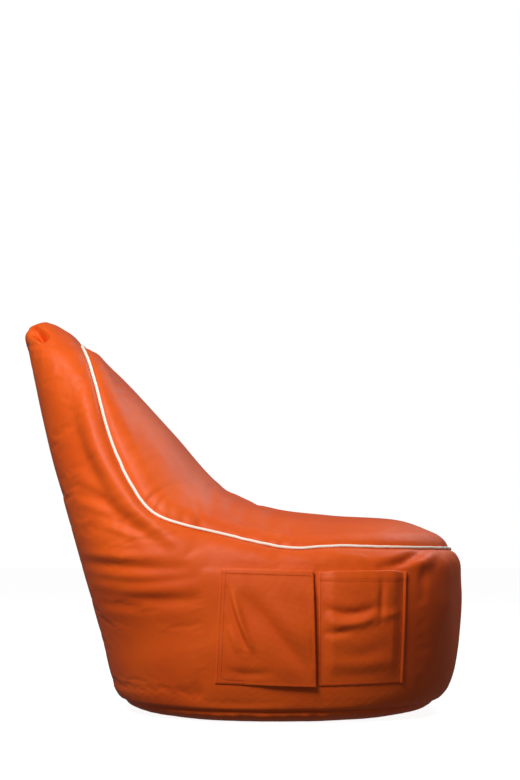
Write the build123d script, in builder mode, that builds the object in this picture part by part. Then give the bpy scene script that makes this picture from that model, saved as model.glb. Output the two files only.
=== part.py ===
"""Bean bag lounger chair: a high-backed fabric cover with piped seams, two side pockets and a
rear zip, around a zipped inner liner full of polystyrene beads.

Frame: millimetres, +Z up, origin on the floor under the bag, on its middle plane. The sitter
faces -Y, and the pockets are on the sitter's right, at -X.
"""
import os
from math import copysign, cos, hypot, pi, sin

from build123d import *

# ---- Driving dimensions -------------------------------------------------------------------
COVER_THICKNESS = 2.0        # coated upholstery fabric with its backing
LINER_GAP = 1.5              # slack between the cover and the liner
LINER_THICKNESS = 1.0
FILL_GAP = 1.0               # slack between the liner and the heap of beads
FLOOR_GAP = 0.5              # the same slack under the weight of the beads
BASE_SEAM_HEIGHT = 22.0      # the base panel turns up the sides as far as this seam
FULLNESS = 2.4               # exponent of the oval sections: 2 is an ellipse, more is squarer
POINTS_ROUND = 20            # spline points round one section

# The rear face is straight up its middle, so that the zip lies flat on it.
REAR_FOOT = 254.0            # Y where the straight line meets the floor
REAR_LEAN = 0.262            # Y per mm of height

# Each section runs from a point on the front, seat or backrest line (front_y, front_z) down to a
# point on the rear line at the height rear_z. The sections fan out from the flat base to the tip.
SECTIONS = [
    # front_y, front_z, rear_z, half_width
    (-428, 45, 28, 338),
    (-445, 150, 60, 362),
    (-450, 250, 95, 374),
    (-428, 328, 130, 376),
    (-330, 378, 172, 374),
    (-180, 388, 220, 366),
    (-50, 406, 270, 350),
    (60, 455, 335, 324),
    (152, 556, 440, 272),
    (236, 647, 545, 226),
    (303, 720, 645, 182),
    (345, 762, 712, 146),
    (382, 790, 762, 100),
]
BASE_FRONT, BASE_REAR, BASE_HALF_WIDTH = -398, 240, 302
TIP_FRONT, TIP_REAR, TIP_HALF_WIDTH = (404, 799), (446, 783), 66

# Side view of the piped seam, from just in front of the bag to the tip: (y, z). Its end hooks
# forwards, square across the top of the backrest.
PIPING_LINE = [
    (-470, 329), (-435, 332), (-399, 336), (-295, 340), (-185, 345), (-95, 342), (-20, 354), (56, 372),
    (116, 385), (162, 400), (192, 423), (214, 456), (240, 503), (260, 551), (275, 600),
    (290, 655), (308, 708), (322, 738), (327, 752), (323, 766), (312, 780),
]
PIPING_WIDTH = 6.0
PIPING_STAND = 5.0           # how far the piping stands out of the seam

# Side pockets: two patches side by side, each sewn down at its sides and bottom.
POCKET_BOTTOM, POCKET_TOP = 72.0, 290.0
POCKET_REAR, POCKET_MIDDLE, POCKET_FRONT = 48.0, -136.0, -312.0
POCKET_DEPTH = 18.0          # how far the pocket cloth stands off the side panel
POCKET_CLOTH = 1.6
POCKET_SEAM = 7.0            # width of the sewn-down border
POCKET_SPLIT = 0.5           # half the gap between the two pockets

# Zips: a coil zip in the rear seam of the cover, and a shorter one in the liner. Each coil lies
# between tapes that close the opening, and a slider without a tab rides over it.
ZIP_BOTTOM, ZIP_TOP = 110.0, 400.0
LINER_ZIP_BOTTOM, LINER_ZIP_TOP = 150.0, 360.0
ZIP_OPENING = 9.0            # half width of the opening that the tapes and coils fill
COIL_HALF_WIDTH = 2.6
COIL_RISE = 1.6              # how far the coil stands proud of its tape
COIL_SINK = 0.8
ZIP_CLEARANCE = 0.1          # between a tape and the panel or coil beside it
TAPE_THICKNESS = 1.0
COIL_SPLIT = 0.05            # half the gap between the two meshed coils
COIL_ROUND = 0.6
STOP_LENGTH = 5.0
SLIDER_LENGTH, SLIDER_WIDTH, SLIDER_HEIGHT = 13.0, 9.6, 4.4
SLIDER_ROUND = 2.0
SLIDER_CLEARANCE = 0.5
BRIDGE_LENGTH, BRIDGE_WIDTH, BRIDGE_HEIGHT = 7.0, 2.4, 2.0
BRIDGE_HOLE_LENGTH, BRIDGE_HOLE = 4.0, 1.0
TROUGH_HALF_WIDTH = 12.0     # the liner is dented along its zip, which leaves the slider room
TROUGH_DEPTH = 8.0
TROUGH_END = 8.0             # how far the dent runs past each end of the liner's zip

REACH = 600.0                # longer than any half of the chair
WALL_REACH = 5.0             # reaches through one wall of the cover or liner, and no further


def rear_y(z):
    """Y of the straight rear line at the height z."""
    return REAR_FOOT + REAR_LEAN * z


def front_rear_pairs():
    """Front point, rear point and half width of every section, from the base to the tip."""
    pairs = [((BASE_FRONT, 0), (BASE_REAR, 0), BASE_HALF_WIDTH)]
    pairs += [((fy, fz), (rear_y(rz), rz), half) for fy, fz, rz, half in SECTIONS]
    return pairs + [(TIP_FRONT, TIP_REAR, TIP_HALF_WIDTH)]


def front_slants(pairs):
    """How much further a wall moves along each section than square to the front surface."""
    slants = []
    for index, (front, rear, _) in enumerate(pairs):
        before = pairs[max(index - 1, 0)][0]
        after = pairs[min(index + 1, len(pairs) - 1)][0]
        along = (after[0] - before[0], after[1] - before[1])
        across = (rear[0] - front[0], rear[1] - front[1])
        cross = abs(along[0] * across[1] - along[1] * across[0])
        slants.append(hypot(*along) * hypot(*across) / cross)
    return slants


def oval(depth, half_width):
    """Points round a superellipse, its front at -Y of the section's plane."""
    points = []
    for index in range(POINTS_ROUND):
        turn = 2 * pi * index / POINTS_ROUND
        x = half_width * copysign(abs(cos(turn)) ** (2 / FULLNESS), cos(turn))
        y = depth / 2 * copysign(abs(sin(turn)) ** (2 / FULLNESS), sin(turn))
        points.append((x, y))
    return points


def bag_solid(inset, lift=0.0):
    """The bag's shape with its walls moved in by inset and its floor raised by lift."""
    pairs = front_rear_pairs()
    with BuildPart() as shape:
        for index, ((front, rear, half), slant) in enumerate(zip(pairs, front_slants(pairs))):
            run = hypot(rear[0] - front[0], rear[1] - front[1])
            step = ((rear[0] - front[0]) / run, (rear[1] - front[1]) / run)
            normal = (0, -step[1], step[0])
            depth = run - inset * (1 + slant)
            centre = (run + inset * (slant - 1)) / 2
            shift = lift if index == 0 else -inset if index == len(pairs) - 1 else 0
            origin = (0, front[0] + step[0] * centre + normal[1] * shift,
                      front[1] + step[1] * centre + normal[2] * shift)
            with BuildSketch(Plane(origin=origin, x_dir=(1, 0, 0), z_dir=normal)):
                with BuildLine():
                    Spline(*oval(depth, half - inset), periodic=True)
                make_face()
        loft()
    return shape.part


def slab(low, high):
    """A box between two opposite corners."""
    with BuildPart() as block:
        with BuildSketch(Plane.XY.offset(low[2])):
            with Locations(((low[0] + high[0]) / 2, (low[1] + high[1]) / 2)):
                Rectangle(high[0] - low[0], high[1] - low[1])
        extrude(amount=high[2] - low[2])
    return block.part


def half_space(side, floor):
    """Everything on one side of the middle plane, above the height floor."""
    return slab((min(0, side * REACH), -REACH, floor), (max(0, side * REACH), REACH, 2 * REACH))


def rear_plane(z, inset):
    """Plane on the rear line at the height z, Z outwards and Y up the line."""
    run = hypot(1, REAR_LEAN)
    normal = Vector(0, 1 / run, -REAR_LEAN / run)
    origin = Vector(0, rear_y(z), z) - normal * inset
    return Plane(origin=origin, x_dir=(-1, 0, 0), z_dir=normal)


def zip_length(bottom, top):
    """Length along the rear line between two heights."""
    return (top - bottom) * hypot(1, REAR_LEAN)


def rear_block(bottom, top, inset, low_x, high_x, end=0.0, deep=WALL_REACH, out=WALL_REACH):
    """A block in the rear wall, between two heights on the rear line and past them by end."""
    length = zip_length(bottom, top)
    with BuildPart() as block:
        with BuildSketch(rear_plane(bottom, inset + deep)):
            with Locations((-(low_x + high_x) / 2, length / 2)):
                Rectangle(high_x - low_x, length + 2 * end)
        extrude(amount=deep + out)
    return block.part


def trough(grow):
    """The dent along the liner's zip, grown on every side for the layers inside it."""
    half = TROUGH_HALF_WIDTH + grow
    return rear_block(LINER_ZIP_BOTTOM, LINER_ZIP_TOP, liner_inset, -half, half,
                      TROUGH_END + grow, TROUGH_DEPTH + grow)


def save(builder, label):
    """Label a finished piece and write it to its own file."""
    builder.part.label = label
    export_step(builder.part, f"parts/{label}.step")


os.makedirs("parts", exist_ok=True)

# ---- Cover panels -------------------------------------------------------------------------
bag = bag_solid(0)

with BuildPart() as cover_shell:
    add(bag)
    add(bag_solid(COVER_THICKNESS, COVER_THICKNESS), mode=Mode.SUBTRACT)
    add(slab((-REACH, -REACH, 0), (REACH, REACH, 2 * REACH)), mode=Mode.INTERSECT)

with BuildSketch(Plane.YZ.offset(-REACH)) as above_piping:
    with BuildLine():
        seam = Spline(*PIPING_LINE)
        Polyline(seam @ 1, ((seam @ 1).X, 2 * REACH), (-REACH, 2 * REACH),
                 (-REACH, (seam @ 0).Y), seam @ 0)
    make_face()

with BuildPart() as above_seam:
    extrude(above_piping.sketch, amount=2 * REACH)

with BuildPart() as seat_back_panel:
    add(cover_shell.part)
    add(above_seam.part, mode=Mode.INTERSECT)
save(seat_back_panel, "seat_back_panel")

with BuildPart() as skirt:
    add(cover_shell.part)
    add(above_seam.part, mode=Mode.SUBTRACT)

with BuildPart() as base_panel:
    add(skirt.part)
    add(slab((-REACH, -REACH, 0), (REACH, REACH, BASE_SEAM_HEIGHT)), mode=Mode.INTERSECT)
save(base_panel, "base_panel")

for side, label in ((-1, "side_panel_right"), (1, "side_panel_left")):
    with BuildPart() as side_panel:
        add(skirt.part)
        add(half_space(side, BASE_SEAM_HEIGHT), mode=Mode.INTERSECT)
        add(rear_block(ZIP_BOTTOM, ZIP_TOP, 0, -ZIP_OPENING, ZIP_OPENING), mode=Mode.SUBTRACT)
    save(side_panel, label)


# ---- Piping: a strip of fabric sewn round a filler cord, as one ribbon along the seam -------
def beside_seam(distance):
    """The seam's points moved sideways in the side view."""
    points = []
    for index, (y, z) in enumerate(PIPING_LINE):
        before = PIPING_LINE[max(index - 1, 0)]
        after = PIPING_LINE[min(index + 1, len(PIPING_LINE) - 1)]
        along = (after[0] - before[0], after[1] - before[1])
        scale = distance / hypot(*along)
        points.append((y - along[1] * scale, z + along[0] * scale))
    return points


def seam_band(width):
    """A band of the given width along the piped seam, right across the chair."""
    with BuildPart() as band:
        with BuildSketch(Plane.YZ.offset(-REACH)):
            with BuildLine():
                upper = Spline(*beside_seam(width / 2))
                lower = Spline(*beside_seam(-width / 2))
                Line(upper @ 0, lower @ 0)
                Line(upper @ 1, lower @ 1)
            make_face()
        extrude(amount=2 * REACH)
    return band.part


with BuildPart() as piping:
    add(seam_band(PIPING_WIDTH))
    add(bag_solid(-PIPING_STAND), mode=Mode.INTERSECT)
    add(bag, mode=Mode.SUBTRACT)
save(piping, "piping")

# ---- Side pockets -------------------------------------------------------------------------
pocket_bag = bag_solid(-POCKET_DEPTH)
pocket_space = bag_solid(POCKET_CLOTH - POCKET_DEPTH)
for front_edge, rear_edge, label in (
    (POCKET_FRONT, POCKET_MIDDLE - POCKET_SPLIT, "pocket_front"),
    (POCKET_MIDDLE + POCKET_SPLIT, POCKET_REAR, "pocket_rear"),
):
    with BuildPart() as hollow:
        add(pocket_space)
        add(slab((-REACH, front_edge + POCKET_SEAM, POCKET_BOTTOM + POCKET_SEAM),
                 (0, rear_edge - POCKET_SEAM, REACH)), mode=Mode.INTERSECT)
    with BuildPart() as pocket:
        add(pocket_bag)
        add(slab((-REACH, front_edge, POCKET_BOTTOM), (0, rear_edge, POCKET_TOP)),
            mode=Mode.INTERSECT)
        add(hollow.part, mode=Mode.SUBTRACT)
        add(bag, mode=Mode.SUBTRACT)
    save(pocket, label)

# ---- Inner liner and its filling ------------------------------------------------------------
liner_inset = COVER_THICKNESS + LINER_GAP
liner_lift = COVER_THICKNESS + FLOOR_GAP

with BuildPart() as liner_space:
    add(bag_solid(liner_inset + LINER_THICKNESS, liner_lift + LINER_THICKNESS))
    add(trough(LINER_THICKNESS), mode=Mode.SUBTRACT)

with BuildPart() as liner_shell:
    add(bag_solid(liner_inset, liner_lift))
    add(trough(0), mode=Mode.SUBTRACT)
    add(liner_space.part, mode=Mode.SUBTRACT)

liner_zip_inset = liner_inset + TROUGH_DEPTH
for side, label in ((-1, "liner_right"), (1, "liner_left")):
    with BuildPart() as liner_half:
        add(liner_shell.part)
        add(half_space(side, 0), mode=Mode.INTERSECT)
        add(rear_block(LINER_ZIP_BOTTOM, LINER_ZIP_TOP, liner_zip_inset,
                       -ZIP_OPENING, ZIP_OPENING), mode=Mode.SUBTRACT)
    save(liner_half, label)

with BuildPart() as bead_filling:
    add(bag_solid(liner_inset + LINER_THICKNESS + FILL_GAP,
                  liner_lift + LINER_THICKNESS + FLOOR_GAP))
    add(trough(LINER_THICKNESS + FILL_GAP), mode=Mode.SUBTRACT)
save(bead_filling, "bead_filling")


# ---- Zips -----------------------------------------------------------------------------------
def build_tapes_and_coils(bottom, top, inset, prefix):
    """Two flat tapes in the opening, with a coil along the inner edge of each."""
    length = zip_length(bottom, top)
    plane = rear_plane(bottom, inset)
    for side, hand in ((-1, "right"), (1, "left")):
        with BuildPart() as tape:
            with BuildSketch(plane.offset(-TAPE_THICKNESS)):
                with Locations((-side * (COIL_HALF_WIDTH + ZIP_OPENING) / 2, length / 2)):
                    Rectangle(ZIP_OPENING - COIL_HALF_WIDTH - 2 * ZIP_CLEARANCE, length)
            extrude(amount=TAPE_THICKNESS)
        save(tape, f"{prefix}_tape_{hand}")
        with BuildPart() as coil:
            with BuildSketch(plane.offset(-COIL_SINK)):
                with Locations((-side * (COIL_HALF_WIDTH + COIL_SPLIT) / 2, length / 2)):
                    Rectangle(COIL_HALF_WIDTH - COIL_SPLIT, length - 2 * STOP_LENGTH)
            extrude(amount=COIL_SINK + COIL_RISE)
            outer_face = coil.faces().sort_by(Axis(plane.origin, plane.z_dir))[-1]
            fillet(outer_face.edges().filter_by(Axis(plane.origin, plane.y_dir)), COIL_ROUND)
        save(coil, f"{prefix}_coil_{hand}")


def build_stops(bottom, top, inset, prefix):
    """A stop across each end of the coils."""
    length = zip_length(bottom, top)
    plane = rear_plane(bottom, inset)
    for centre, end in ((STOP_LENGTH / 2, "bottom"), (length - STOP_LENGTH / 2, "top")):
        with BuildPart() as stop:
            with BuildSketch(plane.offset(-COIL_SINK)):
                with Locations((0, centre)):
                    Rectangle(2 * COIL_HALF_WIDTH, STOP_LENGTH)
            extrude(amount=COIL_SINK + COIL_RISE)
            fillet(stop.edges().filter_by(Axis(plane.origin, plane.z_dir)), COIL_ROUND)
        save(stop, f"{prefix}_stop_{end}")


def build_slider(bottom, top, inset, prefix):
    """A channel over the coils with a small bridge on top, at rest at the top of its zip."""
    length = zip_length(bottom, top)
    plane = rear_plane(bottom, inset)
    rest = length - STOP_LENGTH - SLIDER_CLEARANCE - SLIDER_LENGTH / 2
    with BuildPart() as slider:
        with BuildSketch(plane.offset(SLIDER_CLEARANCE)):
            with Locations((0, rest)):
                RectangleRounded(SLIDER_WIDTH, SLIDER_LENGTH, SLIDER_ROUND)
        extrude(amount=SLIDER_HEIGHT - SLIDER_CLEARANCE)
        with BuildSketch(plane):
            with Locations((0, rest)):
                Rectangle(2 * (COIL_HALF_WIDTH + SLIDER_CLEARANCE), SLIDER_LENGTH)
        extrude(amount=COIL_RISE + SLIDER_CLEARANCE, mode=Mode.SUBTRACT)
        with BuildSketch(plane.offset(SLIDER_HEIGHT)):
            with Locations((0, rest)):
                Rectangle(BRIDGE_WIDTH, BRIDGE_LENGTH)
        extrude(amount=BRIDGE_HEIGHT)
        across = Plane(plane.origin, x_dir=plane.y_dir, z_dir=plane.x_dir)
        with BuildSketch(across.offset(-BRIDGE_WIDTH)):
            with Locations((rest, -SLIDER_HEIGHT - BRIDGE_HEIGHT / 2)):
                SlotOverall(BRIDGE_HOLE_LENGTH, BRIDGE_HOLE)
        extrude(amount=2 * BRIDGE_WIDTH, mode=Mode.SUBTRACT)
    save(slider, f"{prefix}_slider")
    travel = rest - STOP_LENGTH - SLIDER_CLEARANCE - SLIDER_LENGTH / 2
    print(f"{prefix}: the slider travels {travel:.1f} mm down the rear line")


for bottom, top, inset, prefix in (
    (ZIP_BOTTOM, ZIP_TOP, 0, "zip"),
    (LINER_ZIP_BOTTOM, LINER_ZIP_TOP, liner_zip_inset, "liner_zip"),
):
    build_tapes_and_coils(bottom, top, inset, prefix)
    build_stops(bottom, top, inset, prefix)
    build_slider(bottom, top, inset, prefix)
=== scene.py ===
import math

import bpy
import numpy as np
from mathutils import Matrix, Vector
from mathutils.bvhtree import BVHTree
from mathutils.kdtree import KDTree


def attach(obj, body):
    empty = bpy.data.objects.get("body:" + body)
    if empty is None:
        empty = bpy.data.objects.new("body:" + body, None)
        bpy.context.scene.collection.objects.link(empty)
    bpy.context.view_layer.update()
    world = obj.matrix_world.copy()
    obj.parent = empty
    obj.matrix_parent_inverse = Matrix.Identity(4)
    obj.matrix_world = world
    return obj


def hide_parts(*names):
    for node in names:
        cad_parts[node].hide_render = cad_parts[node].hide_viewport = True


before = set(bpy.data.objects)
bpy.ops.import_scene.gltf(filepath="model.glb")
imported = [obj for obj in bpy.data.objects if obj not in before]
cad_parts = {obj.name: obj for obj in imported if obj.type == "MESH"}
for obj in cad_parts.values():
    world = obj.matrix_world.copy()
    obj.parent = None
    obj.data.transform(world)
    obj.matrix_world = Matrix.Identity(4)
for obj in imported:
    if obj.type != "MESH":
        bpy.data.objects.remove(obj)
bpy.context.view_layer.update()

# ---- Shape of the filled bag, in metres ----
FULLNESS = 2.4
REAR_FOOT, REAR_LEAN = 0.254, 0.262
SECTIONS = [                 # front_y, front_z, rear_y, rear_z, half_width; the base edge is rounded
    (-0.325, 0.000, 0.180, 0.000, 0.290),
    (-0.372, 0.010, 0.220, 0.008, 0.322),
    (-0.407, 0.030, 0.249, 0.022, 0.338),
    (-0.430, 0.066, None, 0.042, 0.350),
    (-0.445, 0.150, None, 0.060, 0.362),
    (-0.450, 0.250, None, 0.095, 0.374),
    (-0.430, 0.332, None, 0.130, 0.376),
    (-0.332, 0.384, None, 0.172, 0.374),
    (-0.180, 0.394, None, 0.220, 0.366),
    (-0.052, 0.411, None, 0.270, 0.350),
    (0.052, 0.459, None, 0.335, 0.324),
    (0.143, 0.561, None, 0.440, 0.272),
    (0.228, 0.653, None, 0.545, 0.226),
    (0.297, 0.724, None, 0.645, 0.182),
    (0.345, 0.762, None, 0.712, 0.146),
    (0.382, 0.790, None, 0.762, 0.100),
    (0.404, 0.799, 0.446, 0.783, 0.066),
]
PIPING_LINE = [              # side view of the piped seam, (y, z)
    (-0.47, 0.329), (-0.435, 0.332), (-0.399, 0.336), (-0.295, 0.34), (-0.185, 0.345),
    (-0.095, 0.342), (-0.02, 0.354), (0.056, 0.372), (0.116, 0.385), (0.162, 0.4),
    (0.192, 0.423), (0.214, 0.456), (0.24, 0.503), (0.26, 0.551), (0.275, 0.6),
    (0.29, 0.655), (0.307, 0.707), (0.319, 0.733), (0.33, 0.75), (0.339, 0.765),
    (0.344, 0.785),
]
BASE_SEAM = 0.022
ROWS, COLUMNS = 150, 200     # quads up the bag and round it
BASE_RINGS, TIP_RINGS = 12, 6
TIP_DOME = (0, 0.002, 0.003)
CLOTH = 0.002                # thickness of the cover
TINY, HUGE = 1e-12, 1e9      # keep divisions safe, and start searches for the nearest


def catmull(values, t):
    """A smooth curve through rows of values, read at the fractional row numbers t."""
    values = np.asarray(values, float)
    t = np.clip(np.asarray(t, float), 0, len(values) - 1)
    padded = np.vstack([2 * values[0] - values[1], values, 2 * values[-1] - values[-2]])
    i = np.minimum(t.astype(int), len(values) - 2)
    k = (t - i)[:, None]
    a, b, c, d = (padded[i + n] for n in range(4))
    return 0.5 * (2 * b + (c - a) * k + (2 * a - 5 * b + 4 * c - d) * k ** 2
                  + (3 * b - a - 3 * c + d) * k ** 3)


def smooth_path(line, count):
    """A smooth curve through a line's points, as count points."""
    return catmull(line, np.linspace(0, len(line) - 1, count))


def section_rows():
    rows = []
    for fy, fz, ry, rz, half in SECTIONS:
        rows.append((fy, fz, REAR_FOOT + REAR_LEAN * rz if ry is None else ry, rz, half))
    return rows


section_table = smooth_path(section_rows(), 700)


def run_length(points):
    """The distance along a polyline to each of its points."""
    return np.concatenate([[0], np.cumsum(np.linalg.norm(np.diff(points, axis=0), axis=1))])


def read_at(places, length, points):
    return np.stack([np.interp(places, length, column) for column in points.T], 1)


def evenly(points, count, closed=False):
    """Points spaced evenly along a polyline."""
    points = np.asarray(points, float)
    if closed:
        points = np.vstack([points, points[:1]])
    length = run_length(points)
    return read_at(np.linspace(0, length[-1], count, endpoint=not closed), length, points)


def powered(value, power):
    """A power that keeps the sign, to square off an oval."""
    return np.sign(value) * np.abs(value) ** power


def oval_ring(row, count):
    """One closed section, starting at its front and going round by +X."""
    fy, fz, ry, rz, half = row
    turn = np.linspace(-math.pi / 2, 1.5 * math.pi, 1600, endpoint=False)
    x, q = half * powered(np.cos(turn), 2 / FULLNESS), powered(np.sin(turn), 2 / FULLNESS)
    y = (fy + ry) / 2 + (ry - fy) / 2 * q
    z = (fz + rz) / 2 + (rz - fz) / 2 * q
    return evenly(np.stack([x, y, z], 1), count, closed=True)


def half_width_at(y, z):
    """Half width of the bag at points of its side view; 0 outside its outline."""
    front, run = section_table[:, 0:2], section_table[:, 2:4] - section_table[:, 0:2]
    unit = run / np.linalg.norm(run, axis=1)[:, None]
    side = (y[:, None] - front[:, 0]) * unit[:, 1] - (z[:, None] - front[:, 1]) * unit[:, 0]
    k = np.clip(np.argmax(side > 0, axis=1), 1, len(run) - 1)
    n = np.arange(len(k))
    share = side[n, k - 1] / (side[n, k - 1] - side[n, k] + TINY)
    share = np.clip(share, 0, 1)[:, None]
    row = section_table[k - 1] * (1 - share) + section_table[k] * share
    centre, span = (row[:, 0:2] + row[:, 2:4]) / 2, row[:, 2:4] - row[:, 0:2]
    q = ((y - centre[:, 0]) * span[:, 0] + (z - centre[:, 1]) * span[:, 1]) / ((span ** 2).sum(1) / 2)
    inside = np.clip(1 - np.abs(q) ** FULLNESS, 0, 1)
    return row[:, 4] * inside ** (1 / FULLNESS)


# ---- Mesh helpers ----
def new_piece(name, points, faces, smooth=True):
    mesh = bpy.data.meshes.new(name)
    mesh.from_pydata([tuple(p) for p in points], [], [tuple(f) for f in faces])
    mesh.update()
    if smooth:
        mesh.polygons.foreach_set("use_smooth", [True] * len(mesh.polygons))
    piece = bpy.data.objects.new(name, mesh)
    bpy.context.scene.collection.objects.link(piece)
    return piece


def coordinates(mesh):
    flat = np.empty(len(mesh.vertices) * 3)
    mesh.vertices.foreach_get("co", flat)
    return flat.reshape(-1, 3)


def vertex_normals(points, quads):
    """Area-weighted normals; quads may repeat a corner to make a triangle."""
    a, b, c, d = (points[quads[:, n]] for n in range(4))
    face = np.cross(c - a, d - b)
    normals = np.zeros_like(points)
    for n in range(4):
        np.add.at(normals, quads[:, n], face)
    return normals / (np.linalg.norm(normals, axis=1)[:, None] + TINY)


def tube(points, radius, sides=10, closed=False):
    """A round tube along a polyline: its points and faces."""
    points = np.asarray(points, float)
    count = len(points)
    if closed:
        along = np.roll(points, -1, 0) - np.roll(points, 1, 0)
    else:
        along = np.gradient(points, axis=0)
    along /= np.linalg.norm(along, axis=1)[:, None]
    side = np.cross(along[0], (0.3, 0.5, 0.8))
    rings = []
    for place, direction in zip(points, along):
        side = side - direction * np.dot(side, direction)
        side /= np.linalg.norm(side)
        up = np.cross(direction, side)
        for n in range(sides):
            turn = 2 * math.pi * n / sides
            rings.append(place + radius * (math.cos(turn) * side + math.sin(turn) * up))
    faces = []
    for i in range(count if closed else count - 1):
        j = (i + 1) % count
        for n in range(sides):
            m = (n + 1) % sides
            faces.append((i * sides + n, i * sides + m, j * sides + m, j * sides + n))
    if not closed:
        faces.append(tuple(reversed(range(sides))))
        faces.append(tuple(range((count - 1) * sides, count * sides)))
    return np.array(rings), faces


def joined(parts):
    """Several (points, faces) as one."""
    points, faces, base = [], [], 0
    for p, f in parts:
        points.append(p)
        faces += [tuple(i + base for i in face) for face in f]
        base += len(p)
    return np.vstack(points), faces


def smoothstep(value, low, high):
    k = np.clip((value - low) / (high - low), 0, 1)
    return k * k * (3 - 2 * k)


def window(value, a, b, c, d):
    """Rises from 0 at a to 1 at b, and falls back from 1 at c to 0 at d."""
    return smoothstep(value, a, b) * (1 - smoothstep(value, c, d))


def bell(value, width, centre=0.0):
    return np.exp(-((value - centre) / width) ** 2)


def grid_quads(rows, columns):
    """The quads between the points of a grid that are numbered row by row."""
    number = np.arange(rows * columns).reshape(rows, columns)
    corners = number[:-1, :-1], number[:-1, 1:], number[1:, 1:], number[1:, :-1]
    return np.stack(corners, -1).reshape(-1, 4)


def nearest_on(path, y, z):
    """Distance from a side-view polyline, how far along it that is, and on which side (1 or -1)."""
    length = run_length(path)
    best, place, side = np.full(len(y), HUGE), np.zeros(len(y)), np.ones(len(y))
    for start, done, span in zip(path, length, np.diff(path, axis=0)):
        reach = np.hypot(*span)
        dy, dz = y - start[0], z - start[1]
        k = np.clip((dy * span[0] + dz * span[1]) / reach ** 2, 0, 1)
        gap = np.hypot(dy - k * span[0], dz - k * span[1])
        near = gap < best
        best[near] = gap[near]
        place[near] = done + k[near] * reach
        side[near] = np.sign(span[0] * dz - span[1] * dy)[near]
    return best, place / length[-1], side


# ---- The bag as one closed surface ----
def bag_grid(detail=1):
    """Rings of points from the middle of the base to the tip, and the quads between them."""
    columns, base_rings, tip_rings = COLUMNS * detail, BASE_RINGS * detail, TIP_RINGS * detail
    table = smooth_path(section_rows(), 1200)
    front, rear = run_length(table[:, 0:2]), run_length(table[:, 2:4])
    places = np.linspace(0, 1, ROWS * detail + 1)
    pick = np.interp(places, (front / front[-1] + rear / rear[-1]) / 2, np.arange(len(table)))
    rings = [oval_ring(table[int(round(p))], columns) for p in pick]
    middle, last = rings[0].mean(0), rings[-1].mean(0)
    base = [middle + (rings[0] - middle) * (n / base_rings) ** 0.9 for n in range(1, base_rings)]
    tip_middle = last + TIP_DOME
    tip = []
    for n in range(1, tip_rings):
        turn = n / tip_rings * math.pi / 2
        tip.append(last + (rings[-1] - last) * math.cos(turn) + (tip_middle - last) * math.sin(turn))
    rings = base + rings + tip
    points = np.vstack([middle[None]] + rings + [tip_middle[None]])
    quads = []
    for n in range(columns):
        m = (n + 1) % columns
        quads.append((0, 1 + m, 1 + n, 1 + n))
        for r in range(len(rings) - 1):
            low, high = 1 + r * columns, 1 + (r + 1) * columns
            quads.append((low + n, low + m, high + m, high + n))
        top = 1 + (len(rings) - 1) * columns
        quads.append((top + n, top + m, len(points) - 1, len(points) - 1))
    return points, np.array(quads)


def seam_signs(points, line):
    """Signed side-view distance from the piped seam: positive above it, on the seat's side."""
    gap, _, side = nearest_on(line, points[:, 1], points[:, 2])
    return gap * side


# ---- Folds ----
# Each fold is (points in the side view, width, height): a ridge where height is positive and a
# crease where it is negative. They are pressed into the side that has the pockets, and a looser
# copy of them into the other side.
SIDE_FOLDS = [
    ([(0.322, 0.69), (0.311, 0.63), (0.293, 0.552), (0.268, 0.495), (0.231, 0.442),
      (0.184, 0.394), (0.135, 0.352), (0.07, 0.305)], 0.026, 0.011),
    ([(0.35, 0.64), (0.33, 0.56), (0.3, 0.495), (0.255, 0.43), (0.2, 0.378)],
     0.022, -0.007),
    ([(0.345, 0.452), (0.271, 0.42), (0.225, 0.396), (0.165, 0.355)], 0.011, -0.0044),
    ([(0.346, 0.47), (0.29, 0.44), (0.24, 0.415)], 0.01, -0.0028),
    ([(0.33, 0.412), (0.254, 0.39), (0.197, 0.37), (0.13, 0.328)], 0.012, -0.0048),
    ([(0.33, 0.378), (0.262, 0.366), (0.205, 0.35)], 0.01, -0.0028),
    ([(0.325, 0.308), (0.24, 0.3), (0.168, 0.298), (0.09, 0.302)], 0.012, -0.0044),
    ([(0.32, 0.326), (0.23, 0.32), (0.15, 0.324)], 0.011, 0.003),
    ([(0.315, 0.28), (0.22, 0.27), (0.147, 0.274), (0.08, 0.284)], 0.0112, -0.0038),
    ([(0.3, 0.25), (0.18, 0.238), (0.06, 0.242)], 0.0125, -0.0036),
    ([(0.29, 0.228), (0.19, 0.22)], 0.01, -0.0024),
    ([(-0.25, 0.298), (-0.29, 0.304), (-0.322, 0.316), (-0.362, 0.338)], 0.0085, -0.0066),
    ([(-0.275, 0.284), (-0.315, 0.292), (-0.35, 0.308), (-0.385, 0.33)], 0.011, 0.0042),
    ([(-0.388, 0.322), (-0.408, 0.27), (-0.412, 0.2)], 0.016, 0.0026),
    ([(-0.395, 0.3), (-0.425, 0.23), (-0.43, 0.14)], 0.02, -0.0034),
    ([(0.14, 0.062), (0.02, 0.05), (-0.11, 0.056)], 0.014, -0.0038),
    ([(-0.11, 0.052), (-0.22, 0.058), (-0.32, 0.078)], 0.012, -0.0034),
]
SEAM_DIP, SEAM_DIP_WIDTH = 0.0062, 0.009     # the panels turn in at the piped seam
SEAM_ROLL, SEAM_ROLL_PLACE = 0.003, 0.034   # and swell a little beside it
PUCKER_DEPTH, PUCKER_REACH = 0.0035, 0.03
TIP_DEPTH, TIP_REACH = 0.034, 0.02


def fold_depths(points, folds, stretch=1.0):
    """Summed height of a list of folds at each point's side view."""
    total = np.zeros(len(points))
    for line, width, height in folds:
        path = smooth_path(line, 10 * len(line))
        gap, place, _ = nearest_on(path, points[:, 1], points[:, 2])
        ends = np.clip(np.sin(math.pi * np.clip(place, 0, 1)), 0, 1) ** 0.85
        wide = width * stretch
        total += height * ends * (bell(gap, wide) - 0.35 * bell(gap, 1.4 * wide, 2 * wide))
    return total


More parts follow.
